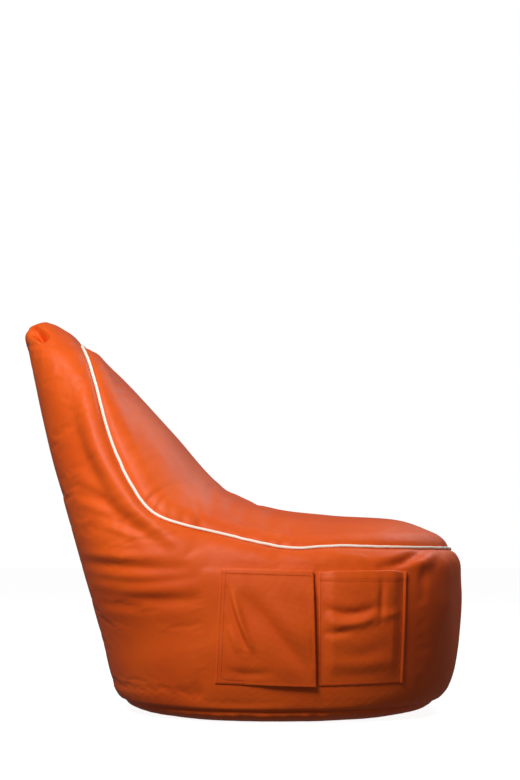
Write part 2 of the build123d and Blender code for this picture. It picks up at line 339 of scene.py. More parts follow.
def waves(points, scale, seed):
    """Smooth repeatable noise: a few sums of sines in fixed random directions."""
    random = np.random.RandomState(seed)
    total = np.zeros(len(points))
    for _ in range(9):
        direction = random.normal(size=3)
        direction /= np.linalg.norm(direction)
        pitch = scale * random.uniform(0.6, 1.6)
        total += np.sin(points @ direction * 2 * math.pi / pitch + random.uniform(0, 6.28))
    return total / 9


def seam_curve(line, count=420):
    """The piped seam in space: once round the bag, from the front up the left side."""
    path = smooth_path(line, 4000)
    left = np.column_stack([half_width_at(*path.T), path])
    left = left[left[:, 0] > 1e-4]
    return evenly(np.vstack([left, left[::-1] * (-1, 1, 1)]), count, closed=True)


# ---- Cloth simulation ----
SIM_FRAMES = 20
SIM_CAP = 0.024              # how far the simulation may move a point
SIM_INSET = 0.004            # the bag starts a little slimmer, because pressure swells it
SIM_SHARE = 0.45             # how much of its movement is kept
COATED_CLOTH = {             # shrink_min is below 0: panels larger than what they cover, so they crease
    "quality": 6, "mass": 0.25, "tension_stiffness": 18, "compression_stiffness": 18,
    "shear_stiffness": 6, "bending_stiffness": 0.8, "tension_damping": 8, "compression_damping": 8,
    "air_damping": 3, "vertex_group_mass": "held", "pin_stiffness": 4, "shrink_min": -0.01,
    "use_pressure": True, "uniform_pressure_force": 4,
}


def settled(points, quads, held):
    """The bag's panels blown up from inside against the seams that hold them."""
    normals = vertex_normals(points, quads)
    free = 1 - held
    start = points - normals * (SIM_INSET * free)[:, None]
    faces = [tuple(dict.fromkeys(q)) for q in quads.tolist()]
    piece = new_piece("cloth_run", start, faces)
    group = piece.vertex_groups.new(name="held")
    for level in np.unique(np.round(held, 1)):
        if level > 0:
            group.add(np.nonzero(np.round(held, 1) == level)[0].tolist(), float(level), "REPLACE")
    cloth = piece.modifiers.new("cloth", "CLOTH")
    for name, value in COATED_CLOTH.items():
        setattr(cloth.settings, name, value)
    cloth.settings.effector_weights.gravity = 0
    cloth.collision_settings.use_collision = False
    cloth.point_cache.frame_start, cloth.point_cache.frame_end = 1, SIM_FRAMES
    scene = bpy.context.scene
    for number in range(1, SIM_FRAMES + 1):
        scene.frame_set(number)
    shape = piece.evaluated_get(bpy.context.evaluated_depsgraph_get()).to_mesh()
    result = coordinates(shape)
    moved = result - points
    size = np.linalg.norm(moved, axis=1)[:, None] + TINY
    result = points + moved * (SIM_CAP * np.tanh(size / SIM_CAP) / size)
    scene.frame_set(1)
    bpy.data.objects.remove(piece)
    return result


def doubled(points, columns):
    """A field on the coarse grid's points, read on a grid with twice the rings and columns."""
    middle = points[1:-1].reshape(-1, columns, points.shape[1])
    field = np.concatenate([np.broadcast_to(points[0], (1,) + middle.shape[1:]), middle,
                            np.broadcast_to(points[-1], (1,) + middle.shape[1:])])
    between = (9 * (field + np.roll(field, -1, 1)) - np.roll(field, 1, 1) - np.roll(field, -2, 1)) / 16
    field = np.stack([field, between], 2).reshape(len(field), 2 * columns, -1)
    wide = np.concatenate([field[:1], field, field[-1:]])
    between = (9 * (wide[1:-2] + wide[2:-1]) - wide[:-3] - wide[3:]) / 16
    fine = np.empty((2 * len(field) - 1,) + field.shape[1:])
    fine[0::2], fine[1::2] = field, between
    return np.vstack([fine[0, :1], fine[1:-1].reshape(-1, fine.shape[2]), fine[-1, :1]])


# ---- The finished surface of the cover ----
seam_line = smooth_path(PIPING_LINE, 300)
seam_ring = seam_curve(PIPING_LINE)
SEAM_STEP = np.linalg.norm(seam_ring[1] - seam_ring[0])
ZIP_Z = (0.11, 0.4)               # the rear opening of the cover
LINER_ZIP_Z = (0.15, 0.36)
ZIP_HALF, ZIP_DRAW = 0.009, 0.045    # half of either opening's width, and how far its pull reaches
REAR_Y = 0.15                        # everything behind this belongs to the rear seam
POCKET_AREA = (-0.33, 0.07, 0.05, 0.3)      # y and z limits that stay calm under the pockets


def beside_seam(points):
    """Each point's distance from the piped seam, and its place along it in metres."""
    tree = KDTree(len(seam_ring))
    for n, place in enumerate(seam_ring):
        tree.insert(place, n)
    tree.balance()
    found = [tree.find(p)[1:3] for p in points]
    index, gap = np.array([f[0] for f in found]), np.array([f[1] for f in found])
    near = seam_ring[index]
    ahead, behind = np.roll(seam_ring, -1, 0)[index], np.roll(seam_ring, 1, 0)[index]
    along = (ahead - behind) / np.linalg.norm(ahead - behind, axis=1)[:, None]
    slip = ((points - near) * along).sum(1)
    return np.sqrt(np.clip(gap ** 2 - slip ** 2, 0, None)), index * SEAM_STEP + slip


def near_zip(points, limits, reach):
    """1 round the zip opening in the rear seam, 0 away from it."""
    x, y, z = points.T
    far = 2.2 * reach
    tall = window(z, limits[0] - far, limits[0] - reach, limits[1] + reach, limits[1] + far)
    return tall * (1 - smoothstep(np.abs(x), reach, far)) * (y > REAR_Y)


def calm_area(points):
    """1 in the part of the side that lies under the pockets."""
    x, y, z = points.T
    low_y, high_y, low_z, high_z = POCKET_AREA
    long = window(y, low_y - 0.02, low_y, high_y, high_y + 0.02)
    return long * window(z, low_z - 0.02, low_z, high_z - 0.01, high_z + 0.01) * (x < 0)


def pucker_run(place, pitch, seed):
    """Uneven ripples along a seam, 0 to 1, at places in metres."""
    random = np.random.RandomState(seed)
    knots = np.arange(0, place.max() + 2 * pitch, pitch) + random.uniform(-0.3, 0.3) * pitch
    knots = knots + random.uniform(-0.42, 0.42, len(knots)) * pitch
    strength = random.uniform(0.1, 1.0, len(knots))
    total = np.zeros(len(place))
    order = np.searchsorted(knots, place)
    for shift in (-1, 0):
        k = np.clip(order + shift, 0, len(knots) - 1)
        total += strength[k] * bell(place, 0.3 * pitch, knots[k])
    return total


def surface_heights(points, side_of_seam):
    """How far the sewn and creased cover stands off the plain bag at each point."""
    x, y, z = points.T
    gap, place = beside_seam(points)
    above = side_of_seam > 0
    side = smoothstep(np.abs(x), 0.05, 0.15) * smoothstep(-side_of_seam, 0.0, 0.012)
    near = fold_depths(points, SIDE_FOLDS)
    far = 0.8 * fold_depths(points * (1, 1.03, 0.96) + (0, 0.012, 0.01), SIDE_FOLDS, 1.3)
    height = np.where(x < 0, near, far) * side
    height -= SEAM_DIP * bell(gap, SEAM_DIP_WIDTH)
    height += SEAM_ROLL * bell(gap, 0.02, SEAM_ROLL_PLACE)
    elbow = bell(y, 0.11, 0.13) + 0.7 * bell(y, 0.07, -0.06) + 0.25
    ripple = pucker_run(place + 0.25 * gap, 0.029, 11)
    reach = PUCKER_REACH * (0.5 + 1.1 * pucker_run(place, 0.07, 12))
    fade = np.exp(-gap / reach) * smoothstep(gap, 0.000, 0.006)
    height -= np.where(above, 1.35, 0.5) * PUCKER_DEPTH * elbow * ripple * fade
    height += 0.0022 * waves(points, 0.34, 3) + 0.0009 * waves(points, 0.11, 4) * (z < 0.72)
    seam_gap = np.where(above, 1.0, np.abs(x))
    height -= 0.003 * bell(seam_gap, 0.006)
    height -= 0.0014 * pucker_run(z + 1.0, 0.021, 21) * np.exp(-seam_gap / 0.018) * (gap > 0.004)
    height -= 0.0045 * bell(z, 0.0045, BASE_SEAM)
    turn = np.arctan2(y + 0.09, x) * 0.33 + 2
    roll = bell(z, 0.007, 0.012) + 0.25 * bell(z, 0.012, 0.036)
    height -= 0.003 * pucker_run(turn, 0.03, 31) * roll
    height *= 1 - 0.85 * calm_area(points)
    return height * (1 - near_zip(points, ZIP_Z, 0.018))


TIP_EDGE = ((0.446, 0.77), (0.406, 0.748))      # lower lip of the hollow at the folded tip


def tip_hollow(points, normals):
    """The hollow that the folded top corner leaves: a sharp lip below, a soft slope above."""
    y, z = points[:, 1], points[:, 2]
    start, end = np.array(TIP_EDGE)
    length = np.linalg.norm(end - start)
    along = (end - start) / length
    dy, dz = y - start[0], z - start[1]
    s = (dy * along[0] + dz * along[1]) / length
    t = dy * along[1] - dz * along[0]
    body = (0.25 + 0.75 * np.clip(t / TIP_REACH, 0, 1)) \
        * window(t, -0.002, 0.003, TIP_REACH, TIP_REACH + 0.009)
    return body * window(s, -0.3, 0.1, 0.55, 1.25) * smoothstep(np.abs(normals[:, 0]), 0.2, 0.6)


plain, plain_quads = bag_grid()
gap, _ = beside_seam(plain)
below = seam_signs(plain, seam_line) < 0
held = np.maximum.reduce([
    np.clip(1 - (gap - 0.004) / 0.018, 0, 1),                               # piped seam
    np.clip(1 - (plain[:, 2] - 0.016) / 0.06, 0, 1),                        # base
    0.9 * np.clip(1 - (np.abs(plain[:, 0]) - 0.004) / 0.016, 0, 1) * below,  # front and rear seams
    0.6 * calm_area(plain),
    near_zip(plain, ZIP_Z, 0.022),
    0.8 * smoothstep(plain[:, 2], 0.74, 0.78)])                             # tip
moved = settled(plain, plain_quads, held) - plain
moved *= SIM_SHARE * (1 - 0.35 * (seam_signs(plain, seam_line) > 0))[:, None]
rest, quads = bag_grid(2)
moved = doubled(moved, COLUMNS) * (1 - near_zip(rest, ZIP_Z, 0.018))[:, None]
side_of_seam = seam_signs(rest, seam_line)
heights = surface_heights(rest, side_of_seam)
rest_normals = vertex_normals(rest, quads)
heights -= TIP_DEPTH * tip_hollow(rest, rest_normals)
cover = rest + moved + rest_normals * heights[:, None]
cover[:, 2] = np.maximum(cover[:, 2], 0.0006 + 0.0004 * waves(rest, 0.05, 5))


# ---- Cutting the cover into its panels ----
def cut(faces, value, tables):
    """Splits faces where value changes sign: those above, those below, and the longer tables."""
    above, below, made, level = [], [], {}, value.tolist()
    for face in faces:
        signs = [level[i] for i in face]
        if min(signs) >= 0:
            above.append(face)
            continue
        if max(signs) <= 0:
            below.append(face)
            continue
        high, low = [], []
        for i, j in zip(face, face[1:] + face[:1]):
            if level[i] >= 0:
                high.append(i)
            if level[i] <= 0:
                low.append(i)
            if level[i] * level[j] < 0:
                crossing = made.setdefault((min(i, j), max(i, j)), len(level) + len(made))
                high.append(crossing)
                low.append(crossing)
        above.append(tuple(high))
        below.append(tuple(low))
    first, second = np.array(list(made), int).reshape(-1, 2).T
    share = (value[first] / (value[first] - value[second]))[:, None]
    longer = [np.vstack([t, t[first] * (1 - share) + t[second] * share]) for t in tables]
    return above, below, longer


def snapped(value, reach):
    return np.where(np.abs(value) < reach, 0, value)


def outline(faces):
    """The open edge of a panel as one closed run of point numbers."""
    edges = {(i, j) for face in faces for i, j in zip(face, face[1:] + face[:1])}
    following = {i: j for i, j in edges if (j, i) not in edges}
    start = min(following)
    run = [start]
    while following[run[-1]] != start and len(run) <= len(following):
        run.append(following[run[-1]])
    return run


def only(points, faces):
    """The points that the faces use, and the faces renumbered."""
    used = sorted({i for face in faces for i in face})
    number = {old: new for new, old in enumerate(used)}
    return points[used], [tuple(number[i] for i in face) for face in faces]


def opened(points, where, limits, sign):
    """Draws a panel's edge at the rear seam back from the zip."""
    x, y, z = where.T
    low, high = limits
    tall = window(z, low - 0.003, low + 0.004, high - 0.004, high + 0.003) * (y > REAR_Y)
    share = np.clip(1 - np.abs(x) / ZIP_DRAW, 0, 1)
    result = points.copy()
    result[:, 0] += sign * ZIP_HALF * share * tall
    return result


all_faces = [tuple(dict.fromkeys(q)) for q in quads.tolist()]
upper, base_faces, (rest, cover) = cut(all_faces, snapped(rest[:, 2] - BASE_SEAM, 0.0012), (rest, cover))
value = snapped(seam_signs(rest, seam_line), 0.0012)
seat_faces, side_faces, (rest, cover) = cut(upper, value, (rest, cover))
left_faces, right_faces, (rest, cover) = cut(side_faces, snapped(rest[:, 0], 0.0003), (rest, cover))


def cloth_piece(name, points, faces, thickness, body="chair", node=None, slot=None, offset=-1):
    piece = new_piece(name, points, faces)
    if thickness:
        solid = piece.modifiers.new("thickness", "SOLIDIFY")
        solid.thickness, solid.offset = thickness, offset
    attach(piece, body)
    if node:
        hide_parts(node)
    return piece


# name: (faces, side, the cut's width and length in metres, its area in square metres)
PANELS = {
    "seat_back_panel": (seat_faces, None, (0.82, 1.12), 0.54),
    "side_panel_right": (right_faces, -1, (0.96, 0.90), 0.58),
    "side_panel_left": (left_faces, 1, (0.96, 0.90), 0.58),
    "base_panel": (base_faces, None, (0.70, 0.68), 0.37),
}
panels = []
for name, (faces, sign, flat, area) in PANELS.items():
    where = cover if sign is None else opened(cover, rest, ZIP_Z, sign)
    piece = cloth_piece("cover_" + name, *only(where, faces), CLOTH, node=name, slot="cover_fabric")
    panels.append(piece)

# ---- Piping ----
PIPING_RADIUS, PIPING_STAND = 0.003, 0.0022
cover_tree = BVHTree.FromPolygons(cover.tolist(), seat_faces + right_faces + left_faces + base_faces)


def outward(points, spread=0.012):
    """Smoothed outward normals of the cover near the points."""
    result = []
    for p in points:
        total = Vector((0, 0, 0))
        for hit in cover_tree.find_nearest_range(Vector(p), spread):
            total += hit[1]
        if total.length < 1e-6:
            total = cover_tree.find_nearest(Vector(p))[1]
        result.append(total.normalized())
    return np.array(result)


edge_ring = evenly(cover[outline(seat_faces)], 800, closed=True)
for _ in range(8):
    edge_ring = 0.5 * edge_ring + 0.25 * (np.roll(edge_ring, 1, 0) + np.roll(edge_ring, -1, 0))
edge_out = outward(edge_ring)
piping = cloth_piece("cream_piping", *tube(edge_ring + edge_out * PIPING_STAND, PIPING_RADIUS, 12, True),
                     None, node="piping", slot="piping_fabric")
# painted shadow: this dark tube just inside the piping stands for the thin shadow line beside the piping
shade = cloth_piece("piping_painted_shadow",
                    *tube(edge_ring - edge_out * 0.0006, PIPING_RADIUS * 0.9, 8, True), None,
                    slot="cover_fabric")


# ---- Pockets ----
POCKET_CLOTH = 0.001
POCKET_CLEAR = 0.0003
# corners (y, z): top rear, top front, bottom front, bottom rear
POCKETS = {
    "rear": ((0.043, 0.3), (-0.131, 0.294), (-0.137, 0.075), (0.054, 0.079)),
    "front": ((-0.1425, 0.293), (-0.312, 0.291), (-0.306, 0.077), (-0.143, 0.075)),
}
# folds in each pocket: points (s from its rear edge, t from its top), width, height
POCKET_FOLDS = {
    "rear": [
        ([(0.06, 0.14), (0.12, 0.3), (0.21, 0.5), (0.32, 0.7)], 0.0048, -0.0066),
        ([(0.12, 0.18), (0.2, 0.38), (0.29, 0.56), (0.39, 0.72)], 0.007, 0.0046),
        ([(0.1, 0.48), (0.16, 0.6), (0.22, 0.72)], 0.006, 0.0022),
        ([(0.2, 0.18), (0.48, 0.42), (0.72, 0.66), (0.98, 0.92)], 0.015, -0.0052),
        ([(0.5, 0.2), (0.7, 0.42), (0.92, 0.66)], 0.02, 0.0025),
        ([(0.05, 0.86), (0.3, 0.9), (0.6, 0.88)], 0.008, -0.0015),
    ],
    "front": [
        ([(-0.05, 0.27), (0.14, 0.33), (0.3, 0.36), (0.48, 0.35), (0.7, 0.29)], 0.0085, -0.0036),
        ([(0.05, 0.41), (0.24, 0.45), (0.44, 0.44), (0.58, 0.4), (0.72, 0.33)], 0.009, 0.0028),
        ([(0.02, 0.52), (0.2, 0.53), (0.4, 0.5)], 0.007, -0.0022),
        ([(0.7, 0.02), (0.71, 0.25), (0.7, 0.48)], 0.006, -0.0024),
        ([(0.62, 0.46), (0.76, 0.38), (0.95, 0.36)], 0.008, 0.0018),
        ([(0.1, 0.7), (0.45, 0.73), (0.85, 0.65)], 0.014, -0.0016),
        ([(0.05, 0.88), (0.5, 0.9), (0.9, 0.86)], 0.012, -0.0012),
    ],
}
HEM = {"rear": 0.009, "front": 0.017}
INWARD = Vector((1, 0, 0))           # from the pocket side
POCKET_STEP = 0.0022
SIDE_TURNING, FOOT_TURNING = 0.012, 0.006    # cloth turned under at the sides and at the foot


def side_place(corners, s, t):
    """The side-view place (y, z) at shares s and t of a pocket's outline."""
    tr, tf, bf, br = (np.array(c) for c in corners)
    return (tr * (1 - s) + tf * s) * (1 - t) + (br * (1 - s) + bf * s) * t


def pocket_base(corners, s, t):
    """Where points of a pocket lie on the cover."""
    yz = side_place(corners, s[:, None], t[:, None])
    xs = [cover_tree.ray_cast(Vector((-1, y, z)), INWARD)[0].x for y, z in yz]
    return np.column_stack([xs, yz])


def calmed(grid, times=10):
    """A grid of heights smoothed, and never inside the cover."""
    smooth = grid.copy()
    for _ in range(times):
        wide = np.pad(smooth, 1, mode="reflect", reflect_type="odd")
        smooth = (wide[1:-1, :-2] + wide[1:-1, 2:] + wide[:-2, 1:-1] + wide[2:, 1:-1]) / 4
        smooth = np.minimum(smooth, grid)
    return smooth


def pocket_lift(kind, s, t, wide, tall):
    """How far the pocket's cloth stands off its seams at (s, t)."""
    across, down = s * wide, t * tall
    inner = window(across, 0.005, 0.03, wide - 0.03, wide - 0.005)
    if kind == "rear":
        inner = smoothstep(across, 0.009, 0.045)
        lift = 0.0035 * inner + 0.0058 * smoothstep(s, 0.3, 0.97)
        lip = smoothstep(s, 0.15, 0.6)
        lift *= (0.55 + 0.45 * smoothstep(down, 0.0, 0.05)) \
            * (1 - (1 - 0.75 * lip) * smoothstep(down, tall - 0.04, tall - 0.006))
    else:
        lift = 0.005 * inner * (1 - smoothstep(down, tall - 0.05, tall - 0.005))
        lift += 0.0024 * smoothstep(across, wide - 0.005, wide - 0.0034)
        lift -= 0.0006 * bell(across, 0.0012, wide - 0.0065)
    mouth = np.sin(math.pi * np.clip(s, 0, 1)) ** 0.8 * (1 - smoothstep(down, 0.0, 0.07))
    lift += 0.0042 * mouth
    places = np.column_stack([np.zeros(len(s)), across, down])
    folds = [([(a * wide, b * tall) for a, b in line], width, height)
             for line, width, height in POCKET_FOLDS[kind]]
    hem = HEM[kind]
    room = window(across, 0.004, 0.014, wide - 0.012, wide - 0.003)
    room *= 1 - smoothstep(down, tall - 0.014, tall - 0.004)
    room *= 0.35 + 0.65 * smoothstep(down, 0.004, hem + 0.004)
    lift += fold_depths(places, folds) * room
    lift += 0.0009 * (1 - smoothstep(down, hem - 0.0004, hem + 0.0008))
    lift -= 0.0007 * bell(down, 0.0009, hem - 0.0012)
    return np.maximum(lift, 0)


pocket_skin, pocket_trees = [], {}
for kind, corners in POCKETS.items():
    wide = np.hypot(*(np.array(corners[0]) - corners[1]))
    tall = np.hypot(*(np.array(corners[0]) - corners[3]))
    columns, rows = int(wide / POCKET_STEP) + 1, int(tall / POCKET_STEP) + 1
    s, t = (g.ravel() for g in np.meshgrid(np.linspace(0, 1, columns), np.linspace(0, 1, rows)))
    base = pocket_base(corners, s, t)
    base[:, 0] = calmed(base[:, 0].reshape(rows, columns)).ravel()
    grid = base.reshape(rows, columns, 3)
    out = np.cross(np.gradient(grid, axis=1), np.gradient(grid, axis=0)).reshape(-1, 3)
    out /= np.linalg.norm(out, axis=1)[:, None]
    out *= np.sign(-out[:, :1])
    lift = pocket_lift(kind, s, t, wide, tall)
    outer = base + out * (POCKET_CLEAR + POCKET_CLOTH + lift)[:, None]
    sheet_points = outer.reshape(rows, columns, 3)
    flat_points = (base + out * (POCKET_CLEAR + POCKET_CLOTH)).reshape(rows, columns, 3)
    if kind == "rear":       # its front edge turns under
        turns = np.array([0.92, 0.7, 0.4, 0.12])[None, :, None]
        edge, foot = sheet_points[:, -1:], flat_points[:, -1:]
        slide = np.array([-0.15, 0.05, 0.35, 0.9])[None, :, None]
        curl = foot + (edge - foot) * turns + (grid[:, -3:-2] - grid[:, -1:]) * slide
        sheet_points = np.concatenate([sheet_points, curl], axis=1)
    points = sheet_points.reshape(-1, 3)
    faces = grid_quads(*sheet_points.shape[:2])[:, [0, 3, 2, 1]].tolist()
    piece = cloth_piece(kind + "_pocket", points, faces, POCKET_CLOTH, node="pocket_" + kind,
                        slot="cover_fabric")
    flat = (round(float(wide) + SIDE_TURNING, 3), round(float(tall) + FOOT_TURNING, 3))
    pocket_skin.append(piece)
    pocket_trees[kind] = BVHTree.FromPolygons(points.tolist(), faces)


# ---- Stitches ----
THREAD, STITCH, STITCH_GAP = 0.00042, 0.003, 0.0011
STITCH_SHARES = np.array([0, 0.15, 0.5, 0.85, 1])
STITCH_RISE = np.array([-0.0005, 0.00015, 0.00035, 0.00015, -0.0005])


def stitches(path, out):
    """A row of thread stitches along a path on a surface, each one a bent capsule."""
    length = run_length(path)
    parts = []
    start = 0.0
    while start + STITCH < length[-1]:
        places = start + STITCH * STITCH_SHARES
        middle = read_at(places, length, path) + read_at(places, length, out) * STITCH_RISE[:, None]
        parts.append(tube(middle, THREAD, 6))
        start += STITCH + STITCH_GAP
    return parts


def pocket_run(kind, places):
    """A path of (s, t) places laid on a pocket's own surface."""
    path, out = [], []
    for s, t in evenly(places, 160):
        hit = pocket_trees[kind].ray_cast(Vector((-1, *side_place(POCKETS[kind], s, t))), INWARD)
        if hit[0] is not None:
            path.append(hit[0])
            out.append(hit[1] if hit[1].x < 0 else -hit[1])
    return np.array(path), np.array(out)


STITCH_RUNS = {
    "rear": [[(0.017, 0.012), (0.017, 0.985)], [(0.055, 0.012), (0.055, 0.955)],
             [(0.017, 0.985), (0.3, 0.985)], [(0.06, 0.957), (0.3, 0.962)],
             [(0.06, 0.036), (0.97, 0.036)]],
    "front": [[(0.015, 0.012), (0.015, 0.985)], [(0.015, 0.985), (0.96, 0.985)],
              [(0.958, 0.075), (0.958, 0.985)], [(0.015, 0.076), (0.945, 0.076)]],
}
thread_parts = []
for kind, runs in STITCH_RUNS.items():
    for places in runs:
        thread_parts += stitches(*pocket_run(kind, places))
pocket_thread = cloth_piece("pocket_stitching", *joined(thread_parts), None)


def rear_run(offset, low, high):
    """A line on the cover beside the rear seam, offset metres from it."""
    path, out = [], []
    for z in np.linspace(low, high, 200):
        hit = cover_tree.ray_cast(Vector((offset, 1, z)), Vector((0, -1, 0)))
        path.append(hit[0])
        out.append(hit[1])
    return np.array(path), np.array(out)


zip_parts = []
for sign in (-1, 1):
    reach = ZIP_HALF + 0.0045
    path, out = rear_run(sign * (reach - ZIP_HALF * (1 - (reach - ZIP_HALF) / ZIP_DRAW)), *ZIP_Z)
    path[:, 0] = sign * reach
    zip_parts += stitches(path, out)
zip_thread = cloth_piece("zip_stitching", *joined(zip_parts), None)


# ---- Zips ----
ZIP_UP, ZIP_OUT = np.array((0, 0.25345, 0.96735)), np.array((0, 0.96735, -0.25345))
ZIP_FOOT = np.array((0, REAR_FOOT, 0))
COIL_PITCH, COIL_WIRE, COIL_FLATNESS = 0.0016, 0.00036, 0.7


def zip_frame(node):
    """A CAD zip part's extent in x, up the zip and out from it, as lowest and highest values."""
    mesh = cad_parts[node]
    points = coordinates(mesh.data) @ np.array(mesh.matrix_world)[:3, :3].T + mesh.matrix_world.translation
    local = np.column_stack([points[:, 0], (points - ZIP_FOOT) @ ZIP_UP, (points - ZIP_FOOT) @ ZIP_OUT])
    return local.min(0), local.max(0)


def on_zip(x, up, out):
    """Points given beside, up and out from the zip line, in space."""
    x, up, out = np.broadcast_arrays(x, up, out)
    return np.stack([x, ZIP_FOOT[1] + up * ZIP_UP[1] + out * ZIP_OUT[1],
                     up * ZIP_UP[2] + out * ZIP_OUT[2]], -1)


def tape_piece(node, name):
    """Woven tape with a thicker band along its inner edge, very slightly wavy."""
    low, high = zip_frame(node)
    side = 1 if high[0] > 0.004 else -1
    inner, outer = (low[0], high[0]) if side > 0 else (high[0], low[0])
    share, up = np.meshgrid(np.linspace(0, 1, 9), np.linspace(low[1], high[1], 180))
    wavy = 0.0001 * np.sin(up * 310 + side) + 0.00006 * np.sin(up * 911)
    band = 0.00015 * (share < 0.3) + 0.00012 * (share > 0.9)
    points = on_zip(inner + (outer - inner) * share, up, high[2] - 0.00035 + wavy + band)
    quads = grid_quads(*share.shape)[:, ::side]
    return cloth_piece(name, points.reshape(-1, 3), quads.tolist(), high[2] - low[2] - 0.0004, node=node,
                       slot=node.rsplit("_", 1)[0])


def coil_piece(node, name):
    """A coil of wire round the tape's inner edge, one flattened turn for each tooth."""
    low, high = zip_frame(node)
    middle, reach = (low + high) / 2, (high - low) / 2 - COIL_WIRE
    turns = int((high[1] - low[1]) / COIL_PITCH) - 1
    turn = np.linspace(0, 2 * math.pi * turns, 12 * turns)
    up = low[1] + COIL_PITCH + turn / (2 * math.pi) * COIL_PITCH
    path = on_zip(middle[0] + reach[0] * powered(np.cos(turn), COIL_FLATNESS), up,
                  middle[2] + reach[2] * powered(np.sin(turn), COIL_FLATNESS))
    return cloth_piece(name, *tube(path, COIL_WIRE, 5), None, node=node, slot=node.rsplit("_", 1)[0])


zip_pieces = {}
for prefix, where in (("zip", "cover"), ("liner_zip", "inner_bag")):
    for side in ("right", "left"):
        for part, make in (("tape", tape_piece), ("coil", coil_piece)):
            node = f"{prefix}_{part}_{side}"
            zip_pieces[node] = make(node, f"{where}_zip_{part}_{side}")


# ---- Liner and beads ----
LINER_DEPTH, LINER_TROUGH, LINER_CLOTH = 0.008, 0.0035, 0.001
BEAD_DEPTH = 0.0125
fine_count = 2 + (2 * (len(plain) - 2) // COLUMNS + 1) * 2 * COLUMNS
fine_rings = cover[1:fine_count - 1].reshape(-1, 2 * COLUMNS, 3)[1::2, ::2]
inner = np.vstack([cover[:1], fine_rings.reshape(-1, 3), cover[fine_count - 1:fine_count]])
inner_quads = [tuple(dict.fromkeys(q)) for q in plain_quads.tolist()]


def evened(points, times):
    """The points drawn towards the middle of their neighbours."""
    pairs = np.vstack([plain_quads[:, [n, (n + 1) % 4]] for n in range(4)])
    pairs = pairs[pairs[:, 0] != pairs[:, 1]]
    for _ in range(times):
        total, number = np.zeros_like(points), np.zeros(len(points))
        for a, b in ((0, 1), (1, 0)):
            np.add.at(total, pairs[:, a], points[pairs[:, b]])
            np.add.at(number, pairs[:, a], 1)
        points = 0.5 * points + 0.5 * total / number[:, None]
    return points


LINER_TOP, LINER_SLACK = 0.66, 0.45          # above this height the inner bag stops short of the tip
calm_cover = evened(inner, 8)
slack = LINER_SLACK * np.maximum(calm_cover[:, 2] - LINER_TOP, 0)
calm_cover = calm_cover + slack[:, None] * (0, -0.49, -0.87)
calm_out = vertex_normals(calm_cover, plain_quads)
trough = near_zip(plain, LINER_ZIP_Z, 0.013)
liner_points = calm_cover - calm_out * (LINER_DEPTH + LINER_TROUGH * trough)[:, None]
centres = np.array([plain[list(q), 0].mean() for q in inner_quads])
liner = []
for name, sign in (("left", 1), ("right", -1)):
    faces = [q for q, c in zip(inner_quads, centres) if c * sign > 0]
    where = opened(liner_points, plain, LINER_ZIP_Z, sign)
    piece = cloth_piece("inner_bag_" + name, *only(where, faces), LINER_CLOTH,
                        node="liner_" + name, slot="liner_fabric")
    liner.append(piece)
bead_points = calm_cover - calm_out * (BEAD_DEPTH + 1.6 * LINER_TROUGH * trough)[:, None]
bead_points += calm_out * (0.0009 * waves(plain, 0.016, 41))[:, None]
beads = cloth_piece("beads", bead_points, inner_quads, None, node="bead_filling", slot="bead_foam")


# ---- Materials ----
def linear(*rgb):
    """A colour given as 0-255 display values."""
    return tuple(v / 255 / 12.92 if v / 255 < 0.04045 else ((v / 255 + 0.055) / 1.055) ** 2.4
                 for v in rgb) + (1.0,)


class Look:
    """A material on the Principled shader, with helpers for its nodes."""

    def __init__(self, name, **sockets):
        self.material = bpy.data.materials.new(name)
        self.material.use_nodes = True
        self.nodes, self.links = self.material.node_tree.nodes, self.material.node_tree.links
        self.shader = self.nodes["Principled BSDF"]
        for socket, value in sockets.items():
            self.shader.inputs[socket.replace("_", " ")].default_value = value
        self.place = self.nodes.new("ShaderNodeTexCoord").outputs["Object"]

    def node(self, kind, output, sockets, **settings):
        """A node's output; each of its sockets is given a value or another node's output."""
        node = self.nodes.new(kind)
        for name, value in settings.items():
            setattr(node, name, value)
        for name, value in sockets.items():
            if isinstance(value, bpy.types.NodeSocket):
                self.links.new(value, node.inputs[name])
            else:
                node.inputs[name].default_value = value
        return node.outputs[output]

    def noise(self, scale, detail=3.0, roughness=0.5):
        return self.node("ShaderNodeTexNoise", "Fac", {
            "Vector": self.place, "Scale": scale, "Detail": detail, "Roughness": roughness})

    def wave(self, axis, pitch):
        return self.node("ShaderNodeTexWave", "Fac", {
            "Vector": self.place, "Scale": math.pi / (10 * pitch)}, bands_direction=axis)

    def cells(self, scale):
        return self.node("ShaderNodeTexVoronoi", "Distance", {"Vector": self.place, "Scale": scale})

    def math(self, operation, a, b):
        return self.node("ShaderNodeMath", 0, {0: a, 1: b}, operation=operation)

    def ranged(self, value, low, high, to_low, to_high):
        return self.node("ShaderNodeMapRange", "Result", {
            "Value": value, "From Min": low, "From Max": high, "To Min": to_low, "To Max": to_high})

    def mix(self, share, a, b):
        return self.node("ShaderNodeMix", "Result", {"Factor": share, "A": a, "B": b}, data_type="RGBA")

    def colour(self, value):
        self.links.new(value, self.shader.inputs["Base Color"])

    def rough(self, value):
        self.links.new(value, self.shader.inputs["Roughness"])

    def bumps(self, *layers):
        """Bump layers as (height, strength, distance), each on top of the one before."""
        before = {}
        for height, strength, distance in layers:
            sockets = {"Strength": strength, "Distance": distance, "Height": height, **before}
            before = {"Normal": self.node("ShaderNodeBump", "Normal", sockets)}
        self.links.new(before["Normal"], self.shader.inputs["Normal"])

    def edges(self):
        """How sharply the surface turns outward, 0 in hollows to 1 on ridges."""
        return self.nodes.new("ShaderNodeNewGeometry").outputs["Pointiness"]

    def weave(self, pitch):
        x, y, z = (self.wave(axis, pitch) for axis in "XYZ")
        return self.math("MULTIPLY", self.math("ADD", self.math("ADD", x, y), z), 0.33)


def scaled(colour, share, more=0.0):
    """A colour made lighter or darker."""
    return tuple(min(1.0, share * c + more) for c in colour[:3]) + (1.0,)


